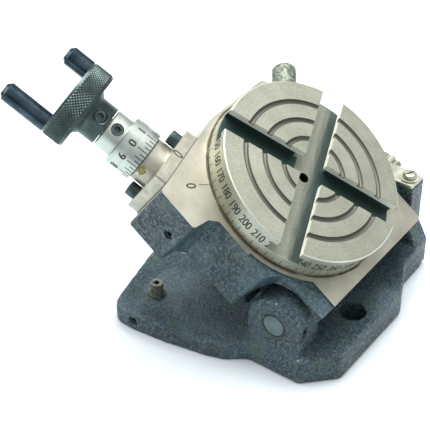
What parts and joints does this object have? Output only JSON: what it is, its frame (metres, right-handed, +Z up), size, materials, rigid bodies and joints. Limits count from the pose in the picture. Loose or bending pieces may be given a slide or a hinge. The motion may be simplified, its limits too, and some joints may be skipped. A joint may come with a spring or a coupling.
{
  "type": "tilting rotary table",
  "caption": "Small tilting rotary table: cast base with hinge ears, hinged swivel body, round T-slotted table with concentric grooves, worm drive with graduated dial and two-pin handwheel.",
  "frame": {"origin": "on the flat underside of the base, straight below the tilt axis and in the plane of the table centre", "axes": "+Z up from the base, +Y along the tilt axis towards the clamp side, +X towards the hinged end, with the handwheel on the -X side"},
  "size_m": [0.1392, 0.1296, 0.1137],
  "materials": {
    "cast_paint": "satin hammered enamel on rough cast iron",
    "cast_paint_body": "satin enamel on rough cast iron with a machined top",
    "ground_steel": "ground",
    "turned_steel": "fine turned",
    "black_oxide_steel": "black oxide",
    "satin_steel": "satin chrome",
    "bronze": "machined",
    "zinc_steel": "zinc plated"
  },
  "bodies": {
    "base": {"base_casting": "cast_paint", "near_pivot_pin": "ground_steel", "far_pivot_pin": "ground_steel", "pivot_grub_screws": "black_oxide_steel", "stop_screw": "zinc_steel", "stop_lock_screw": "black_oxide_steel", "tilt_index_plate": "zinc_steel", "index_plate_washer": "zinc_steel", "index_plate_screw": "zinc_steel"},
    "swivel": {"swivel_body": "cast_paint_body", "worm_flange": "ground_steel", "flange_screws": "black_oxide_steel", "worm_bush": "bronze", "tail_bush": "bronze", "sleeve_lock_screw": "black_oxide_steel", "lock_shoe": "bronze", "tilt_clamp_stud": "zinc_steel"},
    "clamp_nut": {"tilt_clamp_nut": "zinc_steel", "tilt_clamp_washer": "zinc_steel"},
    "table_lock": {"table_lock_screw": "zinc_steel"},
    "table": {"table_disc": "turned_steel", "spindle": "ground_steel", "worm_wheel": "bronze", "wheel_screws": "black_oxide_steel", "thrust_washer": "ground_steel", "spindle_nut": "ground_steel"},
    "worm": {"worm_shaft": "ground_steel", "handwheel": "black_oxide_steel", "handwheel_set_screw": "black_oxide_steel", "long_crank_pin": "black_oxide_steel", "short_crank_pin": "black_oxide_steel"},
    "dial": {"dial_collar": "satin_steel", "dial_set_screw": "black_oxide_steel"}
  },
  "joints": [
    {"name": "tilt", "type": "hinge", "parent": "base", "child": "swivel", "pos_m": [0, 0, 0.024], "axis": [0, 1, 0], "range_deg": [-35.7, 54.3]},
    {"name": "tilt_clamp", "type": "hinge", "parent": "swivel", "child": "clamp_nut", "pos_m": [-0.01056, 0.055, 0.03409], "axis": [0, 1, 0], "range_deg": [-180, 90]},
    {"name": "table_lock_turn", "type": "hinge", "parent": "swivel", "child": "table_lock", "pos_m": [-0.04888, 0.03716, 0.07415], "axis": [-0.5434, 0.7431, 0.3905], "range_deg": [-90, 180]},
    {"name": "table_turn", "type": "hinge", "parent": "swivel", "child": "table", "pos_m": [-0.01833, 0, 0.05933], "axis": [0.5835, 0, 0.8121], "continuous": true},
    {"name": "worm_turn", "type": "hinge", "parent": "swivel", "child": "worm", "pos_m": [-0.02062, -0.02675, 0.04522], "axis": [-0.79, -0.2317, 0.5677], "continuous": true},
    {"name": "dial_set", "type": "hinge", "parent": "worm", "child": "dial", "pos_m": [-0.06802, -0.04066, 0.07928], "axis": [-0.79, -0.2317, 0.5677], "continuous": true}
  ],
  "couplings": [
    {"joint": "worm_turn", "follows": "table_turn", "ratio": 36}
  ]
}
